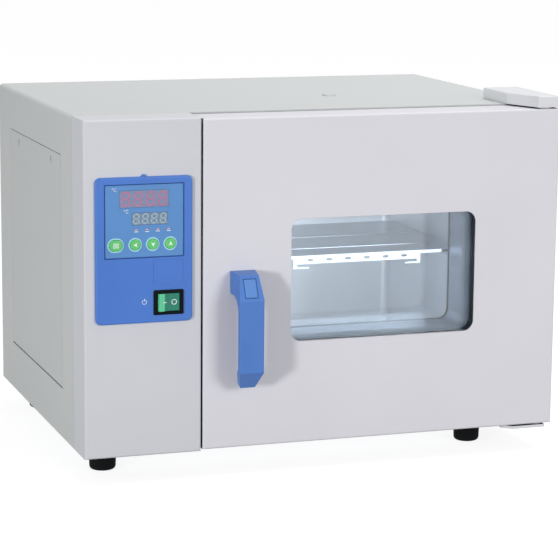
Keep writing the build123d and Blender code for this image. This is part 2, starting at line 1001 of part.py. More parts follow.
# The rocker rests tipped, with its right end pressed in
rocker_plane = Plane(
    origin=(switch_centre[0], rocker_y, switch_centre[1] - rocker_height / 2),
    x_dir=(math.cos(half_throw), math.sin(half_throw), 0),
    z_dir=(0, 0, 1),
)
with BuildPart() as switch_rocker:
    with BuildSketch(rocker_plane):
        with BuildLine():
            Polyline((-tip_x, -tip_y), (0, -waist), (tip_x, -tip_y))
            CenterArc((0, 0), rocker_radius, -rocker_tip_angle, 2 * rocker_tip_angle)
            Line((tip_x, tip_y), (-tip_x, tip_y))
            CenterArc((0, 0), rocker_radius, 180 - rocker_tip_angle, 2 * rocker_tip_angle)
        make_face()
    extrude(amount=rocker_height)
    post(
        switch_centre[1] - rocker_pin_top,
        switch_centre[1] + rocker_pin_top,
        (switch_centre[0], rocker_y),
        rocker_pin_radius,
    )
save(switch_rocker, "switch_rocker")

# Side cover, flush in the left wall, with its backing rim and two screws
cover_size = (
    cover_back - cover_front - 2 * cover_seam,
    cover_high - cover_low - cover_seam - cover_slot,
)
cover_centre = (
    front + (cover_front + cover_back) / 2,
    floor + (cover_high - cover_seam + cover_low + cover_slot) / 2,
)
cover_screw_places = [
    (y, floor + cover_high - cover_screw_drop)
    for y in (front + cover_front + cover_screw_inset, front + cover_back - cover_screw_inset)
]
with BuildPart() as side_cover:
    with BuildSketch(Plane.YZ.offset(left)):
        with Locations(cover_centre):
            Rectangle(*cover_size)
        with Locations(*cover_screw_places):
            Circle(cover_screw_head_radius + screw_clearance, mode=Mode.SUBTRACT)
    extrude(amount=sheet)
save(side_cover, "side_cover")

rim_low = floor + cover_low - cover_rim
rim_high = floor + cover_high + cover_rim
rim_mouth_low = floor + cover_low + cover_rim
rim_mouth_high = floor + cover_high - cover_rim_top
with BuildPart() as cover_frame:
    with BuildSketch(Plane.YZ.offset(left + sheet)):
        with Locations((cover_centre[0], (rim_low + rim_high) / 2)):
            Rectangle(cover_back - cover_front + 2 * cover_rim, rim_high - rim_low)
        with Locations((cover_centre[0], (rim_mouth_low + rim_mouth_high) / 2)):
            Rectangle(
                cover_back - cover_front - 2 * cover_rim,
                rim_mouth_high - rim_mouth_low,
                mode=Mode.SUBTRACT,
            )
        with Locations(*cover_screw_places):
            Circle(cover_screw_radius + screw_clearance, mode=Mode.SUBTRACT)
    extrude(amount=sheet)
save(cover_frame, "cover_frame")

with BuildPart() as cover_screws:
    with BuildSketch(Plane.YZ.offset(left)):
        with Locations(*cover_screw_places):
            Circle(cover_screw_head_radius)
    extrude(amount=sheet)
    with BuildSketch(Plane.YZ.offset(left + sheet)):
        with Locations(*cover_screw_places):
            Circle(cover_screw_radius)
    extrude(amount=cover_screw_length)
save(cover_screws, "cover_screws")

# Power board on stand-offs in the control column, with its transformer and relay
board_right = door_left - power_board_stand
board_centre = (body_middle_depth, floor + power_board_rise)
component_face = board_right - board_thickness
with BuildPart() as power_board:
    with BuildSketch(Plane.YZ.offset(board_right)):
        with Locations(board_centre):
            Rectangle(power_board_depth, power_board_height)
    extrude(amount=-board_thickness)
    with BuildSketch(Plane.YZ.offset(board_right)):
        with Locations(board_centre):
            with GridLocations(
                power_board_depth - 2 * stand_inset, power_board_height - 2 * stand_inset, 2, 2
            ):
                Circle(stand_radius)
    extrude(amount=power_board_stand)
    with BuildSketch(Plane.YZ.offset(component_face)):
        with Locations((board_centre[0] - power_board_depth / 4, board_centre[1])):
            RectangleRounded(transformer_depth, transformer_height, stand_radius)
    extrude(amount=-transformer_width)
    with BuildSketch(Plane.YZ.offset(component_face)):
        with Locations((board_centre[0] + power_board_depth / 4, board_centre[1])):
            Rectangle(relay_depth, relay_height)
    extrude(amount=-relay_width)
save(power_board, "power_board")

# Rubber feet, each turned with a rounded foot edge and a recess for its screw
with BuildPart() as feet:
    for place in foot_places:
        with BuildSketch(Plane.XZ) as half:
            with BuildLine():
                Polyline(
                    (foot_recess_radius, 0),
                    (foot_radius - foot_taper, 0),
                    (foot_radius, foot_height),
                    (foot_screw_radius + screw_clearance, foot_height),
                    (foot_screw_radius + screw_clearance, foot_recess_depth),
                    (foot_recess_radius, foot_recess_depth),
                    close=True,
                )
            make_face()
            fillet(half.vertices().group_by(Axis.Y)[0].sort_by(Axis.X)[-1], foot_edge_radius)
        with BuildPart(mode=Mode.PRIVATE) as turned_foot:
            revolve(half.sketch, Axis.Z)
        add(turned_foot.part.moved(Location((place[0], place[1], 0))))
save(feet, "feet")

with BuildPart() as foot_screws:
    for place in foot_places:
        head_top = foot_recess_depth
        post(head_top - foot_screw_head_height, head_top, place, foot_screw_head_radius)
        post(head_top, floor + sheet, place, foot_screw_radius)
save(foot_screws, "foot_screws")

# Thermometer port: a tube through the roof, and the plug that closes it
port_place = (door_centre, port_depth)
with BuildPart() as port_tube:
    post(chamber_high, roof, port_place, port_tube_radius)
    post(chamber_high, roof, port_place, port_bore_radius, Mode.SUBTRACT)
save(port_tube, "port_tube")

with BuildPart() as port_plug:
    post(roof, roof + port_cap_thickness, port_place, port_cap_radius)
    fillet(port_plug.faces().sort_by(Axis.Z)[-1].edges(), port_cap_edge_radius)
    post(roof - plug_stem_length, roof, port_place, port_bore_radius - plug_stem_gap)
save(port_plug, "port_plug")


def cap_plan(inset):
    """The five-sided outline of the top hinge, with its front left corner cut away."""
    cap_right = right - cap_edge_inset
    cap_left = cap_right - cap_width
    cap_near = front + cap_edge_inset
    cap_far = cap_near + cap_depth
    with BuildSketch() as plan:
        with BuildLine():
            Polyline(
                (cap_left, cap_far),
                (cap_left, cap_near + cap_cut_depth),
                (cap_left + cap_cut_width, cap_near),
                (cap_right, cap_near),
                (cap_right, cap_far),
                close=True,
            )
        make_face()
        if inset > 0:
            offset(amount=-inset, kind=Kind.INTERSECTION)
    return plan.sketch


# Top hinge: a steel plate with its pin, under a painted cap
hinge_place = (hinge_x, hinge_y)
with BuildPart() as hinge_top_plate:
    extrude(Plane.XY.offset(roof) * cap_plan(cap_wall + hinge_plate_gap), amount=hinge_plate_thickness)
    post(door_top - hinge_pin_reach, roof, hinge_place, hinge_pin_radius)
save(hinge_top_plate, "hinge_top_plate")

with BuildPart() as hinge_top_cap:
    extrude(Plane.XY.offset(roof) * cap_plan(0), amount=cap_height)
    fillet(hinge_top_cap.edges().filter_by(Axis.Z), cap_corner_radius)
    fillet(hinge_top_cap.faces().sort_by(Axis.Z)[-1].edges(), cap_top_radius)
    extrude(
        Plane.XY.offset(roof) * cap_plan(cap_wall),
        amount=cap_height - cap_wall,
        mode=Mode.SUBTRACT,
    )
save(hinge_top_cap, "hinge_top_cap")

# Lower hinge: a steel plate under the floor, with its pin standing up into the door
foot_plate_right = right - foot_plate_right_inset
with BuildPart() as hinge_bottom_plate:
    with BuildSketch(Plane.XY.offset(floor - hinge_plate_thickness)) as foot_plate:
        with Locations((foot_plate_right, front + cap_edge_inset)):
            Rectangle(foot_plate_width, foot_plate_depth, align=(Align.MAX, Align.MIN))
        front_left = foot_plate.vertices().group_by(Axis.Y)[0].sort_by(Axis.X)[0]
        chamfer(front_left, foot_plate_cut)
        fillet(foot_plate.vertices().group_by(Axis.Y)[-1], foot_plate_radius)
    extrude(amount=hinge_plate_thickness)
    post(floor, door_bottom + hinge_pin_reach, hinge_place, hinge_pin_radius)
save(hinge_bottom_plate, "hinge_bottom_plate")

# Bearing bushes of the hinges, pressed into the top and the bottom of the door
with BuildPart() as hinge_bushes:
    post(door_top - bush_length, door_top, hinge_place, bush_radius)
    post(door_top, roof - bush_flange_gap, hinge_place, bush_flange_radius)
    post(door_bottom, door_bottom + bush_length, hinge_place, bush_radius)
    post(floor + bush_flange_gap, door_bottom, hinge_place, bush_flange_radius)
    post(floor, roof, hinge_place, hinge_pin_radius + hinge_pin_gap, Mode.SUBTRACT)
save(hinge_bushes, "hinge_bushes")

# Keeper: a sprung leaf on the front sheet, whose rolled end holds the latch arm
keeper_left = pocket_centre[0] - latch_pocket_width / 2 - keeper_land
keeper_right = pocket_centre[0] - latch_pocket_width / 2 + keeper_reach
with BuildPart() as keeper_spring:
    with BuildSketch(Plane.XY.offset(handle_z - keeper_width / 2)):
        with Locations((keeper_left, frame_front)):
            Rectangle(keeper_right - keeper_left, keeper_thickness, align=(Align.MIN, Align.MAX))
        with Locations((keeper_right, frame_front)):
            Circle(keeper_bead_radius)
    extrude(amount=keeper_width)
save(keeper_spring, "keeper_spring")

# Door: an outer pan of folded sheet
window_size = (window_width, window_height)
door_face = (door_centre, middle)
door_inner_size = (door_width - 2 * sheet, door_height - 2 * sheet)
with BuildPart() as door_outer_pan:
    slab(front, door_back, door_face, (door_width, door_height))
    fillet(front_edges(door_outer_pan), front_edge_radius)
    slab(front + sheet, door_back, door_face, door_inner_size, 0, Mode.SUBTRACT)
    slab(front, front + sheet, window_centre, window_size, window_radius, Mode.SUBTRACT)
    rod(front, front + sheet, (handle_x, handle_z), handle_bush_radius + spindle_gap, Mode.SUBTRACT)
    post(floor, roof, hinge_place, bush_radius + spindle_gap, Mode.SUBTRACT)
save(door_outer_pan, "door_outer_pan")

# Inner pan: the flat back of the door and the stepped plug that enters the chamber
plug_size = (chamber_width - 2 * plug_side_gap, chamber_height - 2 * plug_side_gap)
plug_inner_size = (plug_size[0] - 2 * sheet, plug_size[1] - 2 * sheet)
with BuildPart() as door_inner_pan:
    slab(door_back - sheet, door_back, door_face, door_inner_size)
    slab(door_back, plug_back, chamber_centre, plug_size, plug_radius)
    fillet(door_inner_pan.faces().sort_by(Axis.Y)[-1].edges(), front_edge_radius)
    slab(
        door_back - sheet,
        plug_back - sheet,
        chamber_centre,
        plug_inner_size,
        plug_radius - sheet,
        Mode.SUBTRACT,
    )
    slab(plug_back - sheet, plug_back, window_centre, window_size, window_radius, Mode.SUBTRACT)
    rod(
        door_back - sheet,
        door_back,
        (handle_x, handle_z),
        handle_bush_radius + spindle_gap,
        Mode.SUBTRACT,
    )
save(door_inner_pan, "door_inner_pan")

# Window: a black gasket, two panes, and the spacer and sleeve between them
rim_size = (window_width + 2 * window_rim, window_height + 2 * window_rim)
rim_radius = window_radius + window_rim
gasket_back = front + sheet + gasket_depth
outer_pane_back = gasket_back + pane_thickness
spacer_back = outer_pane_back + spacer_depth
inner_pane_back = plug_back - sheet
inner_pane_front = inner_pane_back - pane_thickness

for name, near, far in (
    ("window_gasket", front + sheet, gasket_back),
    ("window_spacer", outer_pane_back, spacer_back),
    ("window_sleeve", spacer_back, inner_pane_front),
):
    with BuildPart() as window_ring:
        slab(near, far, window_centre, rim_size, rim_radius)
        slab(near, far, window_centre, window_size, window_radius, Mode.SUBTRACT)
    save(window_ring, name)

for name, near, far in (
    ("window_outer_pane", gasket_back, outer_pane_back),
    ("window_inner_pane", inner_pane_front, inner_pane_back),
):
    with BuildPart() as pane:
        slab(near, far, window_centre, rim_size, rim_radius)
    save(pane, name)

# Door insulation, round the window and the bushes
with BuildPart() as door_insulation:
    slab(front + sheet, door_back - sheet, door_face, door_inner_size)
    slab(
        door_back - sheet,
        plug_back - sheet,
        chamber_centre,
        plug_inner_size,
        plug_radius - sheet,
    )
    slab(front + sheet, plug_back - sheet, window_centre, rim_size, rim_radius, Mode.SUBTRACT)
    rod(
        front + sheet,
        door_back - sheet,
        (handle_x, handle_z),
        handle_bush_radius + spindle_gap,
        Mode.SUBTRACT,
    )
    post(door_bottom, door_bottom + bush_length, hinge_place, bush_radius + spindle_gap, Mode.SUBTRACT)
    post(door_top - bush_length, door_top, hinge_place, bush_radius + spindle_gap, Mode.SUBTRACT)
save(door_insulation, "door_insulation")

seal_inner = (chamber_width + 2 * seal_margin, chamber_height + 2 * seal_margin)
seal_outer = (seal_inner[0] + 2 * seal_width, seal_inner[1] + 2 * seal_width)
with BuildPart() as door_seal:
    slab(
        door_back,
        frame_front - seal_rest_gap,
        chamber_centre,
        seal_outer,
        chamber_radius + seal_margin + seal_width,
    )
    fillet(door_seal.faces().sort_by(Axis.Y)[-1].edges(), seal_edge_radius)
    slab(
        door_back,
        frame_front - seal_rest_gap,
        chamber_centre,
        seal_inner,
        chamber_radius + seal_margin,
        Mode.SUBTRACT,
    )
save(door_seal, "door_seal")

# Handle: a lever that hangs from its boss, with a finger gap behind the grip
handle_face = front - handle_reach
handle_back = front - handle_gap
boss_top = handle_z + boss_half_height
boss_bottom = handle_z - boss_half_height
facet_low = handle_z - facet_drop
grip_back = handle_face + grip_thickness
grip_low = handle_z - grip_length
end_low = grip_low - grip_end_drop
end_face = handle_face + grip_end_retreat
facet_top = (front - boss_top_reach, boss_top - boss_top_drop)
back_curve_radius = front - boss_bottom_flat - grip_back
end_slope = math.hypot(grip_end_drop, grip_end_retreat)
end_back = (
    end_face + grip_thickness * grip_end_drop / end_slope,
    end_low + grip_thickness * grip_end_retreat / end_slope,
)
grip_back_low = end_back[1] + (end_back[0] - grip_back) * grip_end_drop / grip_end_retreat
facet_rise = facet_top[1] - facet_low
facet_run = facet_top[0] - handle_face
facet_plane = Plane(
    origin=(handle_x, handle_face + facet_run / 2, facet_low + facet_rise / 2),
    x_dir=(1, 0, 0),
    z_dir=(0, -facet_rise, facet_run),
)

with BuildPart() as handle_lever:
    with BuildSketch(Plane.YZ.offset(handle_x)):
        with BuildLine():
            Polyline(
                (front - boss_bottom_flat, boss_bottom),
                (handle_back, boss_bottom),
                (handle_back, boss_top),
                facet_top,
                (handle_face, facet_low),
                (handle_face, grip_low),
                (end_face, end_low),
                end_back,
                (grip_back, grip_back_low),
                (grip_back, boss_bottom - back_curve_radius),
            )
            RadiusArc(
                (grip_back, boss_bottom - back_curve_radius),
                (front - boss_bottom_flat, boss_bottom),
                back_curve_radius,
            )
        make_face()
    extrude(amount=handle_width / 2, both=True)
    with BuildSketch(facing(handle_face)):
        with BuildLine():
            Polyline(
                (handle_x - handle_width / 2, boss_top),
                (handle_x - handle_width / 2, grip_low),
                (handle_x - grip_end_half_width, end_low),
                (handle_x + grip_end_half_width, end_low),
                (handle_x + handle_width / 2, grip_low),
                (handle_x + handle_width / 2, boss_top),
                close=True,
            )
        make_face()
    extrude(amount=-handle_reach, mode=Mode.INTERSECT)
    for side in (-1, 1):
        facet_corner = Vector(handle_x + side * handle_width / 2, handle_face, facet_low)
        top_corner = Vector(handle_x + side * boss_top_half_width, *facet_top)
        root_corner = Vector(handle_x + side * handle_width / 2, handle_back, boss_top)
        outward = (root_corner - facet_corner).cross(top_corner - facet_corner) * side
        split(bisect_by=Plane(origin=facet_corner, z_dir=outward), keep=Keep.BOTTOM)
    upright_edges = handle_lever.edges().filter_by(Axis.Z)
    grip_edges = upright_edges.filter_by_position(
        Axis.Y, handle_face - fit_gap, grip_back + fit_gap
    )
    fillet(grip_edges, handle_edge_radius)
    with BuildSketch(facet_plane):
        RectangleRounded(inset_width, inset_length, handle_edge_radius)
    extrude(amount=-inset_depth, mode=Mode.SUBTRACT)
    rod(
        handle_back - spindle_socket_depth,
        handle_back,
        (handle_x, handle_z),
        spindle_radius + spindle_gap,
        Mode.SUBTRACT,
    )
save(handle_lever, "handle_lever")

# Flat cap in the lever's upper facet
with BuildPart() as handle_cap:
    with BuildSketch(facet_plane.offset(-inset_depth)):
        RectangleRounded(
            inset_width - 2 * inset_gap,
            inset_length - 2 * inset_gap,
            handle_edge_radius - inset_gap,
        )
    extrude(amount=inset_depth)
save(handle_cap, "handle_cap")

# Spindle through the door, and the flanged bush that it turns in
latch_front = frame_front + latch_arm_gap
latch_back = latch_front + latch_arm_thickness
with BuildPart() as handle_bush:
    rod(front, door_back, (handle_x, handle_z), handle_bush_radius)
    rod(front, door_back, (handle_x, handle_z), spindle_radius + spindle_gap, Mode.SUBTRACT)
save(handle_bush, "handle_bush")

with BuildPart() as handle_spindle:
    rod(
        handle_back - spindle_socket_depth,
        latch_back + nut_thickness + spindle_gap,
        (handle_x, handle_z),
        spindle_radius,
    )
save(handle_spindle, "handle_spindle")

# Latch arm: it points to the left while the lever hangs, and its bevel rides behind the keeper
with BuildPart() as latch_arm:
    rod(latch_front, latch_back, (handle_x, handle_z), latch_hub_radius)
    slab(
        latch_front,
        latch_back,
        (handle_x - (latch_arm_length - latch_bevel) / 2, handle_z),
        (latch_arm_length - latch_bevel, latch_arm_width),
    )
    arm_tip = latch_arm.faces().sort_by(Axis.X)[0]
    extrude(arm_tip, amount=latch_bevel, taper=latch_bevel_angle)
    rod(
        latch_front,
        latch_back,
        (handle_x, handle_z),
        spindle_radius + spindle_gap,
        Mode.SUBTRACT,
    )
save(latch_arm, "latch_arm")

with BuildPart() as latch_nut:
    with BuildSketch(facing(latch_back)):
        with Locations((handle_x, handle_z)):
            RegularPolygon(nut_across_flats / 2, 6, major_radius=False)
            Circle(spindle_radius + spindle_gap, mode=Mode.SUBTRACT)
    extrude(amount=-nut_thickness)
save(latch_nut, "latch_nut")
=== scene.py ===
# %% [markdown]
# # Dressing a bench incubator
#
# The cabinet, door, handle and switches come ready made from the CAD model, each as a node that
# stays where it is. This file gives every surface its finish, adds the small things that a CAD
# model leaves plain, and sets up the light and the camera.

# %% Load the fixed frame
import math

import bmesh
import bpy
from mathutils import Matrix, Vector
from mathutils.bvhtree import BVHTree


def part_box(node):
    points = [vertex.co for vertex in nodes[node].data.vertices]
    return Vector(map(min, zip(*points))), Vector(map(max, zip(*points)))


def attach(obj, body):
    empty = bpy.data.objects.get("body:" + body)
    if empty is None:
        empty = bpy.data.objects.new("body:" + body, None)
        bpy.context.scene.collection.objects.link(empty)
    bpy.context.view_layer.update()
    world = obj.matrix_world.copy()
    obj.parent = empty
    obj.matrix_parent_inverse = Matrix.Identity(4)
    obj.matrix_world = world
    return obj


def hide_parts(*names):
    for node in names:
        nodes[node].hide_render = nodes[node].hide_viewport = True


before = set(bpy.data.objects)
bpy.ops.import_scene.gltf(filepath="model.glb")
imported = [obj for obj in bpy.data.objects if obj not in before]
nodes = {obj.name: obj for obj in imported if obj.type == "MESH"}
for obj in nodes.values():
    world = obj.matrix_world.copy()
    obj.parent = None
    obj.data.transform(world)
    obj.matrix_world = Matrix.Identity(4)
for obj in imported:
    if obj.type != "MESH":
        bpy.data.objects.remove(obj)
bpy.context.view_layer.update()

bpy.context.scene.view_settings.view_transform = "Standard"

# %% [markdown]
# ## The camera
#
# The camera stands to the left of the incubator and looks slightly down on it. A long lens keeps
# the upright edges nearly parallel. Its turn, tilt and roll are three plain rotations, which is
# easier to read than a matrix of nine numbers.

# %% Camera
camera_data = bpy.data.cameras.new("bench_view")
camera_data.sensor_width = 36.0
camera_data.lens = 142.775
camera = bpy.data.objects.new("bench_view", camera_data)
bpy.context.scene.collection.objects.link(camera)
turn = Matrix.Rotation(math.radians(-19.015), 4, "Z")
tilt = Matrix.Rotation(math.radians(90 - 10.461), 4, "X")
roll = Matrix.Rotation(math.radians(0.511), 4, "Z")
camera.matrix_world = Matrix.Translation((-0.79828, -2.34295, 0.62883)) @ turn @ tilt @ roll
bpy.context.scene.camera = camera
print("lens:", camera_data.lens, "mm")

# %% [markdown]
# ## A small kit for finishes
#
# Each finish is a Principled shader with a few texture nodes in front of it. Writing the node
# calls out every time would bury the idea, so this class keeps the tree and the shared
# coordinates. All textures use object coordinates, which are metres here, so a scale of 1000
# gives a grain of about one millimetre.

# %% Finish kit
def tone(red, green, blue):
    """A colour as seen on a screen, 0 to 255, turned into the linear values that shaders use."""
    linear = []
    for value in (red, green, blue):
        share = value / 255
        linear.append(share / 12.92 if share <= 0.04045 else ((share + 0.055) / 1.055) ** 2.4)
    return (*linear, 1.0)


def scaled(colour, factor):
    """The same colour, lighter or darker."""
    return (*(min(1.0, part * factor) for part in colour[:3]), 1.0)


class Finish:
    """One material, with helpers that add a texture and join it to the shader."""

    def __init__(self, name, colour, roughness, metallic=0.0):
        self.material = bpy.data.materials.new(name)
        self.material.use_nodes = True
        self.tree = self.material.node_tree
        self.shader = self.tree.nodes["Principled BSDF"]
        self.output = self.tree.nodes["Material Output"]
        self.shader.inputs["Base Color"].default_value = colour
        self.shader.inputs["Roughness"].default_value = roughness
        self.shader.inputs["Metallic"].default_value = metallic
        self.place = self.add("ShaderNodeTexCoord").outputs["Object"]

    def add(self, kind, **values):
        node = self.tree.nodes.new(kind)
        for name, value in values.items():
            setattr(node, name, value)
        return node

    def link(self, source, target):
        self.tree.links.new(source, target)

    def stretched(self, stretch):
        """The coordinates, drawn out along one axis for a brushed or rolled grain."""
        mapping = self.add("ShaderNodeMapping")
        mapping.inputs["Scale"].default_value = stretch
        self.link(self.place, mapping.inputs["Vector"])
        return mapping.outputs["Vector"]

    def noise(self, scale, detail=2.0, place=None, rough=0.5):
        texture = self.add("ShaderNodeTexNoise")
        texture.inputs["Scale"].default_value = scale
        texture.inputs["Detail"].default_value = detail
        texture.inputs["Roughness"].default_value = rough
        self.link(place or self.place, texture.inputs["Vector"])
        return texture.outputs["Fac"]

    def ramp(self, source, low, high, start=0.3, end=0.7):
        """A number or a colour that goes from low to high as source goes from start to end."""
        node = self.add("ShaderNodeMapRange")
        node.inputs["From Min"].default_value = start
        node.inputs["From Max"].default_value = end
        node.inputs["To Min"].default_value = low
        node.inputs["To Max"].default_value = high
        self.link(source, node.inputs["Value"])
        return node.outputs["Result"]

    def mixed(self, share, first, second):
        node = self.add("ShaderNodeMix", data_type="RGBA")
        self.link(share, node.inputs["Factor"])
        for socket, colour in ((node.inputs["A"], first), (node.inputs["B"], second)):
            if isinstance(colour, tuple):
                socket.default_value = colour
            else:
                self.link(colour, socket)
        return node.outputs["Result"]

    def paint(self, colour_output):
        self.link(colour_output, self.shader.inputs["Base Color"])

    def gloss(self, roughness_output):
        self.link(roughness_output, self.shader.inputs["Roughness"])

    def relief(self, height, depth, strength=1.0, below=None):
        """Bump of a real depth in metres, on top of an earlier normal if there is one."""
        node = self.add("ShaderNodeBump")
        node.inputs["Strength"].default_value = strength
        node.inputs["Distance"].default_value = depth
        self.link(height, node.inputs["Height"])
        if below:
            self.link(below, node.inputs["Normal"])
        self.link(node.outputs["Normal"], self.shader.inputs["Normal"])
        return node.outputs["Normal"]

    def soft_edge(self, radius):
        """A normal that is rounded at sharp edges, as paint or a press tool rounds them."""
        node = self.add("ShaderNodeBevel", samples=4)
        node.inputs["Radius"].default_value = radius
        return node.outputs["Normal"]


def wear(finish, *names):
    """Gives a finish to the CAD nodes that carry it."""
    for name in names:
        mesh = nodes[name].data
        mesh.materials.clear()
        mesh.materials.append(finish.material)


print("finish kit ready")

# %% [markdown]
# ## Powder coat
#
# The case is steel sheet with a baked powder coat. Close up it has a fine orange peel, and over
# a whole panel the gloss drifts a little. Two noises make the peel, one slow noise makes the
# drift. The Bevel node rounds the folded edges, where the coat is a trace thinner. In narrow seams
# the colour is painted dark as painted shade, falling off where other surfaces stand very close.

# %% Powder coat
PEEL_DEPTH = 0.00003
SEAM_REACH = 0.014
COAT_GLOSS = 0.54


def powder_coat(name, colour, gloss=COAT_GLOSS):
    """Baked coat: a slow drift, fine specks, painted shade in narrow seams and an orange peel."""
    coat = Finish(name, colour, gloss)
    drift = coat.noise(7.0, 3.0)
    speck = coat.noise(1500.0, 1.0)
    slow = coat.mixed(coat.ramp(drift, 0.0, 1.0), scaled(colour, 0.975), scaled(colour, 1.02))
    specked = coat.mixed(coat.ramp(speck, 0.0, 0.06, 0.45, 0.75), slow, scaled(colour, 0.8))
    # Painted shade: the colour falls nearly to black where the Ambient Occlusion node finds other surfaces
    # close by.
    nearby = coat.add("ShaderNodeAmbientOcclusion", samples=8)
    nearby.inputs["Distance"].default_value = SEAM_REACH
    seam_painted_shade = coat.ramp(nearby.outputs["AO"], 1.0, 0.0, 0.12, 0.42)
    coat.paint(coat.mixed(seam_painted_shade, specked, scaled(colour, 0.03)))
    coat.gloss(coat.ramp(drift, gloss - 0.05, gloss + 0.06))
    edge = coat.soft_edge(0.0006)
    below = coat.relief(coat.noise(620.0, 2.0), PEEL_DEPTH, 0.5, edge)
    coat.relief(speck, PEEL_DEPTH * 0.35, 0.5, below)
    coat.shader.inputs["Specular IOR Level"].default_value = 0.28
    return coat


wear(powder_coat("door_coat", tone(212, 211, 217)), "door_outer_pan")
wear(powder_coat("fascia_coat", tone(201, 202, 207)), "control_fascia")
# The case and side cover coats are a darker, greener grey than the door's: the coat's own colour with
# painted shade of the left side in it.
wear(powder_coat("case_coat_and_shade", tone(194, 197, 197)), "outer_shell")
wear(powder_coat("cover_coat_and_shade", tone(192, 195, 195)), "side_cover", "cover_frame")
wear(powder_coat("frame_coat", tone(196, 198, 201)), "front_frame")
hinge_coat = powder_coat("hinge_coat", tone(210, 212, 215), 0.46)
wear(hinge_coat, "hinge_top_plate", "hinge_top_cap", "hinge_bottom_plate")
wear(powder_coat("back_coat", tone(196, 199, 201), 0.5), "back_panel")
print("painted sheet done")

# %% [markdown]
# ## Bare metal
#
# Galvanised sheet, stainless sheet, screws and pins are all metal with a grain. The grain is a
# noise drawn out along the direction of rolling or brushing: it moves the roughness and gives
# a very shallow relief, which is what spreads a reflection across the grain. The thin sheet of
# the chamber and the door is smoother, with a coarser and fainter grain.

# %% Bare metal
def grained_metal(name, colour, gloss, stretch, depth=0.000004, metallic=1.0, swing=1.0):
    """Metal with a grain along stretch; swing is how far the gloss moves with the grain."""
    metal = Finish(name, colour, gloss, metallic)
    grain = metal.noise(1.0, 3.0, metal.stretched(stretch), 0.6)
    cloud = metal.noise(16.0, 2.0)
    metal.paint(metal.mixed(metal.ramp(cloud, 0.0, 1.0), scaled(colour, 0.94), scaled(colour, 1.04)))
    metal.gloss(metal.ramp(grain, gloss - 0.06 * swing, gloss + 0.1 * swing))
    metal.relief(grain, depth, 0.6, metal.soft_edge(0.0004))
    return metal


along_x = (30.0, 1800.0, 1800.0)
along_y = (1800.0, 30.0, 1800.0)
along_z = (1800.0, 1800.0, 30.0)
soft_x = (10.0, 420.0, 420.0)

# %% Sheet of the chamber and the door
liner_relief = 0.0000003
fold_relief = 0.0000005
liner_sheet = grained_metal("liner_sheet", tone(222, 226, 233), 0.46, soft_x, liner_relief, 0.7, 0.3)
pan_sheet = grained_metal("pan_sheet", tone(172, 178, 188), 0.46, soft_x, liner_relief, 0.6, 0.3)
shelf_sheet = grained_metal("shelf_sheet", tone(190, 197, 208), 0.3, soft_x, fold_relief, 1.0, 0.4)
sleeve_sheet = grained_metal("sleeve_sheet", tone(190, 200, 218), 0.4, soft_x, fold_relief, 0.9, 0.4)
wear(liner_sheet, "chamber_liner")
wear(pan_sheet, "door_inner_pan")
wear(shelf_sheet, "shelf", "shelf_rails")
wear(sleeve_sheet, "window_sleeve")
print("chamber sheet done")

# %% Rolled, turned and plated metal
turned_steel = grained_metal("turned_steel", tone(200, 202, 205), 0.24, along_y)
plated_steel = grained_metal("plated_steel", tone(188, 190, 188), 0.3, along_x)
wear(turned_steel, "handle_spindle", "inlet_pins", "temperature_probe")
wear(plated_steel, "latch_arm", "latch_nut", "keeper_spring")
wear(grained_metal("zinc_sheet", tone(176, 180, 184), 0.42, along_x), "base_pan", "partition")
wear(grained_metal("port_steel", tone(196, 199, 202), 0.3, along_z), "port_tube")
wear(grained_metal("screw_steel", tone(190, 192, 194), 0.26, along_z), "foot_screws")
print("bare metal done")

# %% [markdown]
# ## Moulded plastic
#
# The blue frame, the lever and the keys are injection moulded. A mould leaves a very fine spark
# grain and a soft sheen; a slow noise stands for the flow of the melt, in colour and in gloss.

# %% Moulded plastic
def moulded(name, colour, gloss=0.38, grain=0.00001, sheen=0.5):
    """Plastic with a spark grain; sheen is how much of the room the surface mirrors."""
    drift = 0.03
    plastic = Finish(name, colour, gloss)
    plastic.shader.inputs["Specular IOR Level"].default_value = sheen
    flow = plastic.noise(22.0, 2.0)
    spark = plastic.noise(2600.0, 2.0)
    pale, deep = scaled(colour, 1 + drift), scaled(colour, 1 - drift)
    plastic.paint(plastic.mixed(plastic.ramp(flow, 0.0, 1.0), deep, pale))
    plastic.gloss(plastic.ramp(flow, gloss - 0.04, gloss + 0.07))
    plastic.relief(spark, grain, 0.5, plastic.soft_edge(0.0005))
    return plastic


wear(moulded("frame_blue", tone(66, 114, 194), 0.36, sheen=0.4), "panel_bezel")
wear(moulded("lever_blue", tone(72, 117, 188), 0.4, sheen=0.35), "handle_lever")
wear(moulded("cap_blue", tone(84, 130, 196), 0.34, sheen=0.4), "handle_cap")
wear(moulded("plate_blue", tone(84, 135, 194), 0.3, 0.000004, sheen=0.4), "display_plate")
wear(moulded("key_green", tone(88, 190, 104), 0.3), "button_set", "button_left", "button_down", "button_up")
wear(moulded("halo_blue", tone(160, 212, 224), 0.35), "button_rings")
wear(moulded("switch_black", tone(10, 16, 18), 0.5, sheen=0.06), "switch_housing")
wear(moulded("inlet_black", tone(24, 25, 27), 0.5, sheen=0.2), "power_inlet")
wear(moulded("bush_white", tone(224, 224, 220), 0.4), "hinge_bushes", "handle_bush")
wear(moulded("pocket_grey", tone(184, 188, 192), 0.5), "latch_pocket")
wear(moulded("spacer_white", tone(186, 198, 212), 0.45), "window_spacer")
print("moulded parts done")
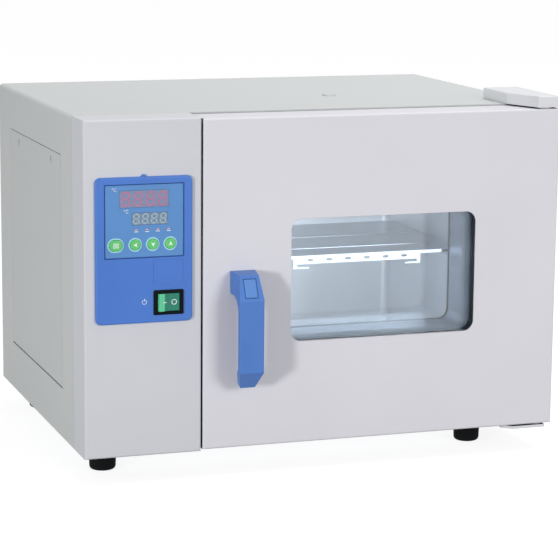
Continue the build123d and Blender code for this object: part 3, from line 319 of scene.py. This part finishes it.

# %% [markdown]
# ## The rocker
#
# The rocker is a clear green plastic over a lamp, so light goes into it and comes out softer. A
# little subsurface does this without a lamp inside. Its raised left flank is painted pale, as a painted
# highlight of the light from the left, and the rest is a darker green: a short ramp along the width makes
# that step.

# %% Rocker
rocker_green = moulded("rocker_green", tone(60, 150, 118), 0.22, 0.000003)
across = rocker_green.add("ShaderNodeSeparateXYZ")
rocker_green.link(rocker_green.place, across.inputs["Vector"])
flank_low, flank_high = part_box("switch_rocker")
# Painted highlight: the left share of the rocker's width is paler, as light from the left falls on that
# flank; the ramp named depth picks the darker green beyond it.
lit_flank_share = 0.3
lit_flank_blur = 0.0006
lit_flank_end = flank_low.x + lit_flank_share * (flank_high.x - flank_low.x)
depth = rocker_green.ramp(across.outputs["X"], 0.0, 1.0, lit_flank_end - lit_flank_blur, lit_flank_end + lit_flank_blur)
body_green = rocker_green.mixed(rocker_green.noise(300.0), tone(28, 122, 100), tone(36, 132, 108))
rocker_green.paint(rocker_green.mixed(depth, tone(96, 206, 154), body_green))
rocker_green.shader.inputs["Subsurface Weight"].default_value = 0.25
rocker_green.shader.inputs["Subsurface Radius"].default_value = (0.002, 0.006, 0.004)
rocker_green.shader.inputs["Specular IOR Level"].default_value = 0.35
wear(rocker_green, "switch_rocker")
print("rocker done")

# %% [markdown]
# ## The display windows
#
# Behind the blue film lie two number displays. Each window is a shade greyer than the film
# around it, with a fine raster from the diffuser. A very fine noise gives the raster.

# %% Display windows
def number_window(name, colour, raster_colour):
    """Film over a display or a lamp, with the raster of the diffuser behind it."""
    window = Finish(name, colour, 0.24)
    raster = window.noise(3200.0, 1.0)
    window.paint(window.mixed(window.ramp(raster, 0.0, 1.0), colour, raster_colour))
    window.relief(raster, 0.000002, 0.4)
    window.shader.inputs["Coat Weight"].default_value = 0.3
    return window


wear(number_window("upper_film", tone(118, 134, 168), tone(106, 126, 164)), "display_upper")
wear(number_window("lower_film", tone(104, 130, 160), tone(94, 122, 156)), "display_lower")
wear(number_window("lamp_lens", tone(206, 176, 196), tone(196, 160, 186)), "indicator_lamps")
print("display windows done")

# %% [markdown]
# ## Rubber and wool
#
# The feet, seals and the heater mat are rubber: nearly no gloss, with a mealy surface. The wool
# between the sheets is fibrous, so its noise is drawn out in two directions.

# %% Rubber and wool
def rubber(name, colour, gloss=0.62):
    """Matt rubber with a mealy surface and a slow bloom in its colour."""
    skin = Finish(name, colour, gloss)
    meal = skin.noise(1400.0, 3.0)
    bloom = skin.noise(60.0, 3.0)
    skin.paint(skin.mixed(skin.ramp(bloom, 0.0, 1.0), scaled(colour, 0.85), scaled(colour, 1.25)))
    skin.gloss(skin.ramp(meal, gloss - 0.08, gloss + 0.12))
    skin.relief(meal, 0.00002, 0.6, skin.soft_edge(0.0006))
    skin.shader.inputs["Specular IOR Level"].default_value = 0.12
    return skin


wear(rubber("foot_rubber", tone(8, 11, 12), 0.8), "feet")
wear(rubber("gasket_rubber", tone(22, 26, 32), 0.4), "window_gasket")
wear(rubber("seal_rubber", tone(176, 178, 178)), "door_seal")
wear(rubber("plug_rubber", tone(190, 194, 196), 0.5), "port_plug")
wear(rubber("heater_rubber", tone(176, 92, 62)), "heater_pad")

wool = Finish("mineral_wool", tone(206, 194, 150), 0.95)
strands = wool.noise(1.0, 4.0, wool.stretched((900.0, 260.0, 500.0)), 0.7)
wool.paint(wool.mixed(wool.ramp(strands, 0.0, 1.0), tone(176, 160, 112), tone(226, 216, 178)))
wool.relief(strands, 0.0006, 0.8)
wool.shader.inputs["Sheen Weight"].default_value = 0.3
wear(wool, "insulation", "door_insulation")
print("rubber and wool done")

# %% [markdown]
# ## Circuit boards
#
# The boards carry a green mask with paler copper tracks under it. A stepped brick pattern gives
# the tracks: its mortar is the copper, and the same pattern raises it by a few hundredths.

# %% Boards
board = Finish("board_mask", tone(24, 92, 54), 0.32)
tracks = board.add("ShaderNodeTexBrick", offset=0.5)
tracks.inputs["Scale"].default_value = 60.0
tracks.inputs["Mortar Size"].default_value = 0.03
tracks.inputs["Color1"].default_value = tone(24, 92, 54)
tracks.inputs["Color2"].default_value = tone(30, 104, 62)
tracks.inputs["Mortar"].default_value = tone(88, 150, 84)
turned_place = board.add("ShaderNodeMapping")
turned_place.inputs["Rotation"].default_value = (math.pi / 2, 0.0, math.pi / 4)
board.link(board.place, turned_place.inputs["Vector"])
board.link(turned_place.outputs["Vector"], tracks.inputs["Vector"])
board.paint(tracks.outputs["Color"])
board.relief(tracks.outputs["Fac"], 0.00003, 0.5, board.soft_edge(0.0003))
wear(board, "controller_board", "power_board")
print("boards done")

# %% [markdown]
# ## The window panes
#
# A pane of clear glass lets nearly all the light through and mirrors a little, more at a
# grazing angle. A mix of a Transparent and a Glossy shader by Fresnel says exactly this, and
# unlike a refracting shader it doesn't put the chamber behind it in the dark.

# %% Glass
def pane_glass(name, tint, index):
    """Clear pane that mirrors more at a grazing angle, by its index of refraction."""
    glass = Finish(name, tint, 0.03)
    clear = glass.add("ShaderNodeBsdfTransparent")
    clear.inputs["Color"].default_value = tint
    mirror = glass.add("ShaderNodeBsdfAnisotropic")
    mirror.inputs["Color"].default_value = (0.95, 0.97, 1.0, 1.0)
    smear = glass.noise(14.0, 4.0)
    glass.link(glass.ramp(smear, 0.02, 0.09), mirror.inputs["Roughness"])
    angle = glass.add("ShaderNodeFresnel")
    angle.inputs["IOR"].default_value = index
    both = glass.add("ShaderNodeMixShader")
    glass.link(angle.outputs["Fac"], both.inputs["Fac"])
    glass.link(clear.outputs["BSDF"], both.inputs[1])
    glass.link(mirror.outputs["BSDF"], both.inputs[2])
    glass.link(both.outputs["Shader"], glass.output.inputs["Surface"])
    glass.tree.nodes.remove(glass.shader)
    return glass


pane = pane_glass("pane_glass", (0.95, 0.975, 0.985, 1.0), 1.62)
wear(pane, "window_outer_pane", "window_inner_pane")
print("glass done")

# %% [markdown]
# ## Laying marks on a surface
#
# Digits, arrows and switch signs are thin inlays. Each is drawn as a flat outline seen from the
# front, and every corner is then sent straight back onto the CAD surface, so that a sign lies
# exactly on a sloping rocker or a domed key.

# %% Inlays
MARK_LIFT = 0.00006
MARK_SINK = 0.00008


def new_piece(name, mesh, finish, body):
    """Puts a mesh in the scene as a piece that rides on a body."""
    piece = bpy.data.objects.new(name, mesh)
    bpy.context.scene.collection.objects.link(piece)
    mesh.materials.append(finish.material)
    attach(piece, body)
    return piece


def inlay(name, node, outlines, finish, body):
    """A thin raised sign: each outline is a list of (x, z) corners, laid on the node's front."""
    source = nodes[node].data
    corners = [vertex.co for vertex in source.vertices]
    surface = BVHTree.FromPolygons(corners, [polygon.vertices for polygon in source.polygons])
    build = bmesh.new()
    for outline in outlines:
        tops, unders = [], []
        for x, z in outline:
            point, normal, _, _ = surface.ray_cast(Vector((x, -1.0, z)), Vector((0.0, 1.0, 0.0)))
            tops.append(build.verts.new(point + normal * MARK_LIFT))
            unders.append(build.verts.new(point - normal * MARK_SINK))
        build.faces.new(tops)
        build.faces.new(list(reversed(unders)))
        for i in range(len(tops)):
            j = (i + 1) % len(tops)
            build.faces.new((tops[j], tops[i], unders[i], unders[j]))
    bmesh.ops.recalc_face_normals(build, faces=build.faces)
    mesh = bpy.data.meshes.new(name)
    build.to_mesh(mesh)
    build.free()
    print(name, "outlines:", len(outlines))
    return new_piece(name, mesh, finish, body)


def ring(centre, outer, inner, start=0.0, sweep=360.0, steps=32):
    """A ring or an open arc as a row of small four-sided outlines."""
    outlines = []
    for i in range(steps):
        corners = []
        for radius, k in ((outer, i), (outer, i + 1), (inner, i + 1), (inner, i)):
            angle = math.radians(start + sweep * k / steps)
            corners.append((centre[0] + radius * math.cos(angle), centre[1] + radius * math.sin(angle)))
        outlines.append(corners)
    return outlines


def bar(centre, width, height):
    """An upright rectangle as one outline."""
    x, z = centre
    return [(x - width / 2, z - height / 2), (x + width / 2, z - height / 2),
            (x + width / 2, z + height / 2), (x - width / 2, z + height / 2)]


# %% [markdown]
# ## Number displays
#
# A seven-segment digit is seven bars with pointed ends, leaning a few degrees. One function
# draws a digit and a loop sets four in a row. The upper row is dull red, the lower one pale
# green, both dimmed by the film in front of them.

# %% Digits
def digit(centre, width, height, thick, lean):
    """The seven bars of one digit, as outlines."""
    half_w, half_h = width / 2, height / 2
    gap = thick * 0.12
    ends = {
        "top": ((-half_w, half_h), (half_w, half_h)),
        "middle": ((-half_w, 0.0), (half_w, 0.0)),
        "bottom": ((-half_w, -half_h), (half_w, -half_h)),
        "upper left": ((-half_w, 0.0), (-half_w, half_h)),
        "upper right": ((half_w, 0.0), (half_w, half_h)),
        "lower left": ((-half_w, -half_h), (-half_w, 0.0)),
        "lower right": ((half_w, -half_h), (half_w, 0.0)),
    }
    outlines = []
    for first, second in ends.values():
        a, b = Vector(first), Vector(second)
        along = (b - a).normalized()
        across = Vector((-along.y, along.x)) * thick / 2
        a, b = a + along * gap, b - along * gap
        tip = along * thick / 2
        corners = [a, a + tip - across, b - tip - across, b, b - tip + across, a + tip + across]
        outlines.append([(centre[0] + c.x + c.y * lean, centre[1] + c.y) for c in corners])
    return outlines


DIGITS = 4
DIGIT_SHARE = 0.56
DIGIT_LEAN = 0.1
DOT_SHARE = 0.4
ROW_HEIGHT = 0.76


def number_row(name, node, share, thick, finish):
    """Four digits, spread evenly over a display window."""
    low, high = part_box(node)
    pitch = (high.x - low.x) / DIGITS
    height = (high.z - low.z) * share
    outlines = []
    for i in range(DIGITS):
        centre = (low.x + pitch * (i + 0.5), (low.z + high.z) / 2)
        outlines += digit(centre, pitch * DIGIT_SHARE, height, thick, DIGIT_LEAN)
        dot = (centre[0] + pitch * DOT_SHARE, centre[1] - height / 2)
        outlines.append(bar(dot, thick * 0.8, thick * 0.8))
    return inlay(name, node, outlines, finish, "cabinet")


dull_red = moulded("segment_red", tone(170, 114, 146), 0.3, 0.000002)
pale_green = moulded("segment_pale", tone(150, 172, 180), 0.3, 0.000002)
number_row("upper_digits", "display_upper", ROW_HEIGHT, 0.0023, dull_red)
number_row("lower_digits", "display_lower", ROW_HEIGHT, 0.0018, pale_green)

# %% [markdown]
# ## Panel signs
#
# The keys carry white arrows and the panel a few small white signs. Lettering is left off: a
# degree sign marks each display, three bars mark the set key, and the usual circle with a bar
# marks the switch.

# %% Signs on the keys
white_ink = moulded("ink_white", tone(238, 242, 246), 0.45, 0.000002)


def middle_of(node):
    """The middle of a node as seen from the front."""
    low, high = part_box(node)
    return (low.x + high.x) / 2, (low.z + high.z) / 2


def arrow(centre, size, heading):
    """A notched arrowhead that points along heading, in degrees from the right."""
    shape = ((1.0, 0.0), (-0.8, 0.85), (-0.35, 0.0), (-0.8, -0.85))
    cos, sin = math.cos(math.radians(heading)), math.sin(math.radians(heading))
    corners = []
    for x, z in shape:
        corners.append((centre[0] + size * (x * cos - z * sin), centre[1] + size * (x * sin + z * cos)))
    return [[corners[0], corners[1], corners[2]], [corners[0], corners[2], corners[3]]]


arrow_size = 0.0026
for key, heading in (("left", 180.0), ("down", 270.0), ("up", 90.0)):
    node = f"button_{key}"
    head = arrow(middle_of(node), arrow_size, heading)
    inlay(f"{key}_arrow", node, head, white_ink, f"{key}_key")

set_x, set_z = middle_of("button_set")
bar_pitch = 0.0019
set_bars = [bar((set_x, set_z + rise), 0.0062, 0.0009) for rise in (-bar_pitch, 0.0, bar_pitch)]
inlay("set_bars", "button_set", set_bars, white_ink, "set_key")

# %% [markdown]
# ## Shade lines
#
# The display plate and the lever's cap sit in shallow pockets, with a gap of a fifth of a
# millimetre that a render at this size can't show. On the real object the gap reads as a dark line
# of shade, so a dark inlay paints that shade along each rim.

# %% Shade lines round the display plate and the lever's cap
def outline_bars(node, gap, width):
    """Four bars that frame a node's front, gap away from it."""
    low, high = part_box(node)
    middle_x, middle_z = middle_of(node)
    full_x = high.x - low.x + 2 * (gap + width)
    full_z = high.z - low.z + 2 * (gap + width)
    edge = gap + width / 2
    uprights = [bar((x, middle_z), width, full_z) for x in (low.x - edge, high.x + edge)]
    return uprights + [bar((middle_x, z), full_x, width) for z in (low.z - edge, high.z + edge)]


# Painted shade: dark bars round the plate and the cap stand for the shade in their gaps.
groove_shade = moulded("painted_groove_shade", tone(24, 48, 104), 0.6, 0.000002, sheen=0.1)
line_gap = 0.0004
plate_shade_line = outline_bars("display_plate", line_gap, 0.0006)
cap_shade_line = outline_bars("handle_cap", line_gap, 0.0004)
inlay("plate_shade_line", "panel_bezel", plate_shade_line, groove_shade, "cabinet")
inlay("cap_shade_line", "handle_lever", cap_shade_line, groove_shade, "handle")

# %% [markdown]
# ## Signs beside the displays, lamps and switch
#
# Each sign is built from rings, open arcs and bars. A degree sign is a small ring with an open
# arc beside it, and the switch mark is an open arc with a bar in its gap.

# %% Signs beside the displays and lamps
display_marks = ((-0.2338, 0.3087), (-0.2212, 0.2862))
plate_signs = []
for x, z in display_marks:
    plate_signs += ring((x - 0.0016, z + 0.0011), 0.0009, 0.0005, steps=16)
    plate_signs += ring((x + 0.0014, z), 0.0018, 0.0012, 50.0, 260.0, 20)
lamp_low, lamp_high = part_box("indicator_lamps")
lamps = 4
lamp_radius = 0.0015
lamp_pitch = (lamp_high.x - lamp_low.x - 2 * lamp_radius) / (lamps - 1)
for i in range(lamps):
    lamp_x = lamp_low.x + lamp_radius + lamp_pitch * i
    plate_signs.append(bar((lamp_x, lamp_low.z - 0.0012), 0.0042, 0.0008))
inlay("plate_signs", "display_plate", plate_signs, white_ink, "cabinet")

# %% Sign beside the switch
switch_mark = (-0.2022, 0.1917)
switch_sign = ring(switch_mark, 0.0026, 0.002, 120.0, 300.0, 24)
switch_sign.append(bar((switch_mark[0], switch_mark[1] + 0.0022), 0.0007, 0.0026))
inlay("switch_sign", "panel_bezel", switch_sign, white_ink, "cabinet")

# %% Signs on the rocker
rocker_low, rocker_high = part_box("switch_rocker")
rocker_x, rocker_z = middle_of("switch_rocker")
reach = (rocker_high.x - rocker_low.x) / 4
on_mark = [bar((rocker_x - reach * 0.8, rocker_z), 0.0042, 0.0009)]
off_mark = ring((rocker_x + reach, rocker_z), 0.0029, 0.0021, steps=28)
inlay("rocker_on", "switch_rocker", on_mark, white_ink, "rocker")
inlay("rocker_off", "switch_rocker", off_mark, white_ink, "rocker")

# %% [markdown]
# ## Screws with a cross recess
#
# The CAD screws are plain rounded heads. Real ones show a cross, which catches the light. One
# head is turned from a profile and cut by a cross with a Boolean, then the result is copied to
# every place, so that the cut is worked out only once.

# %% Screw head
def turned(profile, steps=32):
    """A mesh turned about Z from (radius, height) pairs, which start and end on the axis."""
    build = bmesh.new()
    rings = []
    for radius, height in profile:
        if radius == 0.0:
            rings.append([build.verts.new((0.0, 0.0, height))] * steps)
        else:
            row = []
            for k in range(steps):
                angle = 2 * math.pi * k / steps
                row.append(build.verts.new((radius * math.cos(angle), radius * math.sin(angle), height)))
            rings.append(row)
    for lower, upper in zip(rings, rings[1:]):
        for k in range(steps):
            j = (k + 1) % steps
            corners = []
            for vertex in (lower[k], lower[j], upper[j], upper[k]):
                if vertex not in corners:
                    corners.append(vertex)
            if len(corners) > 2:
                build.faces.new(corners)
    bmesh.ops.recalc_face_normals(build, faces=build.faces)
    return build


def cross_head(radius, height, name):
    """A pan head of unit orientation: it sits on z = 0 and faces +Z, with its cross cut in."""
    dome = [(0.0, 0.0), (radius, 0.0), (radius, height * 0.35)]
    dome += [(radius * math.cos(a), height * (0.35 + 0.65 * math.sin(a))) for a in (0.35, 0.7, 1.05, 1.3)]
    dome.append((0.0, height))
    head_mesh = bpy.data.meshes.new(name)
    build = turned(dome)
    build.to_mesh(head_mesh)
    build.free()
    cut = bmesh.new()
    for quarter in (0.0, math.pi / 2):
        made = bmesh.ops.create_cube(cut, size=1.0)["verts"]
        bmesh.ops.scale(cut, verts=made, vec=(radius * 1.15, radius * 0.24, height * 0.7))
        bmesh.ops.translate(cut, verts=made, vec=(0.0, 0.0, height * 0.85))
        bmesh.ops.rotate(cut, verts=made, cent=(0.0, 0.0, 0.0), matrix=Matrix.Rotation(quarter, 3, "Z"))
    cut_mesh = bpy.data.meshes.new(name + "_cut")
    cut.to_mesh(cut_mesh)
    cut.free()
    head = bpy.data.objects.new(name, head_mesh)
    cutter = bpy.data.objects.new(name + "_cut", cut_mesh)
    for thing in (head, cutter):
        bpy.context.scene.collection.objects.link(thing)
    recess = head.modifiers.new("recess", "BOOLEAN")
    recess.operation = "DIFFERENCE"
    recess.solver = "EXACT"
    recess.use_self = True
    recess.object = cutter
    bpy.context.view_layer.update()
    shaped = head.evaluated_get(bpy.context.evaluated_depsgraph_get())
    result = bpy.data.meshes.new_from_object(shaped)
    for thing in (head, cutter):
        bpy.data.objects.remove(thing)
    return result


def set_screws(name, head, places, facing, replaced):
    """Copies one head to every (place, turn) and joins them in a single piece."""
    build = bmesh.new()
    for place, spin in places:
        start = len(build.verts)
        build.from_mesh(head)
        build.verts.ensure_lookup_table()
        spot = Matrix.Translation(place) @ facing @ Matrix.Rotation(spin, 4, "Z")
        bmesh.ops.transform(build, matrix=spot, verts=build.verts[start:])
    mesh = bpy.data.meshes.new(name)
    build.to_mesh(mesh)
    build.free()
    piece = new_piece(name, mesh, screw_metal, "cabinet")
    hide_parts(replaced)
    print(name, "screws:", len(places))
    return piece


screw_metal = grained_metal("screw_zinc", tone(178, 181, 184), 0.24, along_z)

# %% Screws of the side cover and the back
def solid_boxes(node):
    """The (lowest, highest) corners of each solid in a node, in the order of its vertices."""
    build = bmesh.new()
    build.from_mesh(nodes[node].data)
    bmesh.ops.remove_doubles(build, verts=build.verts, dist=1e-6)
    seen = set()
    boxes = []
    for first in build.verts:
        if first in seen:
            continue
        seen.add(first)
        stack, island = [first], []
        while stack:
            vertex = stack.pop()
            island.append(vertex.co.copy())
            for edge in vertex.link_edges:
                other = edge.other_vert(vertex)
                if other not in seen:
                    seen.add(other)
                    stack.append(other)
        boxes.append((Vector(map(min, zip(*island))), Vector(map(max, zip(*island)))))
    build.free()
    return boxes


SPINS = (0.4, 1.1, 0.2, 0.8, 1.4, 0.6, 0.1, 0.9)
HEAD_RADIUS = 0.004
SIDE_RISE = 0.0018
BACK_RISE = 0.0022

side_head = cross_head(HEAD_RADIUS, SIDE_RISE, "side_head")
side_places = []
for spin, (low, high) in zip(SPINS, solid_boxes("cover_screws")):
    middle = (low + high) / 2
    side_places.append((Vector((low.x + SIDE_RISE, middle.y, middle.z)), spin))
facing_left = Matrix.Rotation(-math.pi / 2, 4, "Y")
set_screws("cover_cross_screws", side_head, side_places, facing_left, "cover_screws")

back_head = cross_head(HEAD_RADIUS, BACK_RISE, "back_head")
back_places = []
for spin, (low, high) in zip(SPINS, solid_boxes("back_screws")):
    middle = (low + high) / 2
    back_places.append((Vector((middle.x, high.y - BACK_RISE, middle.z)), spin))
facing_back = Matrix.Rotation(-math.pi / 2, 4, "X")
set_screws("back_cross_screws", back_head, back_places, facing_back, "back_screws")

# %% [markdown]
# ## Floor
#
# The floor looks white to the camera and in mirrors and panes, because a share of it glows for
# just those rays. The rest is plain pale paint, which still takes the shadow and returns only a
# little light to the underside of the lever and the cabinet.

# %% Floor
def straight_view(tree):
    """One for rays that the camera sees, straight on or by a mirror or a pane, and else nought."""
    path = tree.nodes.new("ShaderNodeLightPath")
    result = path.outputs["Is Camera Ray"]
    for kind in ("Is Glossy Ray", "Is Transmission Ray"):
        most = tree.nodes.new("ShaderNodeMath")
        most.operation = "MAXIMUM"
        tree.links.new(result, most.inputs[0])
        tree.links.new(path.outputs[kind], most.inputs[1])
        result = most.outputs["Value"]
    return result


FLOOR_GLOW = 1.28
GLOW_SHARE = 0.66


def stage_floor():
    """A wide pale floor, which is attached to no body of the object."""
    build = bmesh.new()
    bmesh.ops.create_grid(build, x_segments=8, y_segments=8, size=9.0)
    mesh = bpy.data.meshes.new("studio_floor")
    build.to_mesh(mesh)
    build.free()
    floor = bpy.data.objects.new("studio_floor", mesh)
    bpy.context.scene.collection.objects.link(floor)
    finish = Finish("studio_white", tone(240, 240, 242), 0.9)
    mottle = finish.ramp(finish.noise(3.0), 0.0, 1.0)
    finish.paint(finish.mixed(mottle, tone(239, 239, 241), tone(241, 241, 243)))
    glow = finish.add("ShaderNodeEmission")
    glow.inputs["Color"].default_value = (1.0, 1.0, 1.0, 1.0)
    brighter = finish.add("ShaderNodeMath", operation="MULTIPLY")
    brighter.inputs[1].default_value = FLOOR_GLOW
    finish.link(straight_view(finish.tree), brighter.inputs[0])
    finish.link(brighter.outputs["Value"], glow.inputs["Strength"])
    both = finish.add("ShaderNodeMixShader")
    both.inputs["Fac"].default_value = GLOW_SHARE
    finish.link(finish.shader.outputs["BSDF"], both.inputs[1])
    finish.link(glow.outputs["Emission"], both.inputs[2])
    finish.link(both.outputs["Shader"], finish.output.inputs["Surface"])
    mesh.materials.append(finish.material)


stage_floor()

# %% [markdown]
# ## World
#
# The world lights the object evenly and weakly. To the rays that see the floor as white it shows
# plain white too, so that metal and glass mirror a bright studio.

# %% World
WORLD_LIGHT = 0.42

world = bpy.data.worlds.new("studio")
world.use_nodes = True
bpy.context.scene.world = world
sky = world.node_tree
dim = sky.nodes["Background"]
dim.inputs["Color"].default_value = (1.0, 1.0, 1.0, 1.0)
dim.inputs["Strength"].default_value = WORLD_LIGHT
bright = sky.nodes.new("ShaderNodeBackground")
bright.inputs["Color"].default_value = (1.0, 1.0, 1.0, 1.0)
bright.inputs["Strength"].default_value = 1.0
choose = sky.nodes.new("ShaderNodeMixShader")
sky.links.new(straight_view(sky), choose.inputs["Fac"])
sky.links.new(dim.outputs["Background"], choose.inputs[1])
sky.links.new(bright.outputs["Background"], choose.inputs[2])
sky.links.new(choose.outputs["Shader"], sky.nodes["World Output"].inputs["Surface"])

# %% [markdown]
# ## Lamps
#
# Two soft lamps stand to the left and right of the camera, at about the height of the door, so
# that the lever throws a soft shadow to both sides. One from above brightens the roof. A very
# weak one behind the window, unseen by the camera, stands for the light that the chamber's bright
# sheet passes on many more times than a render follows.

# %% Lamps
def soft_lamp(name, place, aim, size, power):
    """An area lamp that faces the point it is aimed at."""
    data = bpy.data.lights.new(name, "AREA")
    data.shape = "RECTANGLE"
    data.size, data.size_y = size
    data.energy = power
    lamp = bpy.data.objects.new(name, data)
    bpy.context.scene.collection.objects.link(lamp)
    lamp.location = place
    lamp.rotation_mode = "QUATERNION"
    lamp.rotation_quaternion = (Vector(aim) - Vector(place)).to_track_quat("-Z", "Y")
    print(name, power, "W")
    return lamp


door_aim = (0.0, -0.1, 0.2)
soft_lamp("left_lamp", (-2.9, -2.25, 0.5), door_aim, (0.35, 0.6), 64.0)
soft_lamp("right_lamp", (1.3, -2.9, 0.9), door_aim, (1.0, 1.0), 36.0)
liner_low, liner_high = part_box("chamber_liner")
chamber_middle = (liner_low + liner_high) / 2
behind_window = Vector((chamber_middle.x, liner_low.y + 0.03, chamber_middle.z))
window_lamp = soft_lamp("window_lamp", behind_window, chamber_middle, (0.2, 0.16), 0.25)
window_lamp.visible_camera = False
soft_lamp("roof_lamp", (0.9, 0.2, 2.6), (0.1, 0.0, 0.3), (1.4, 1.4), 41.0)
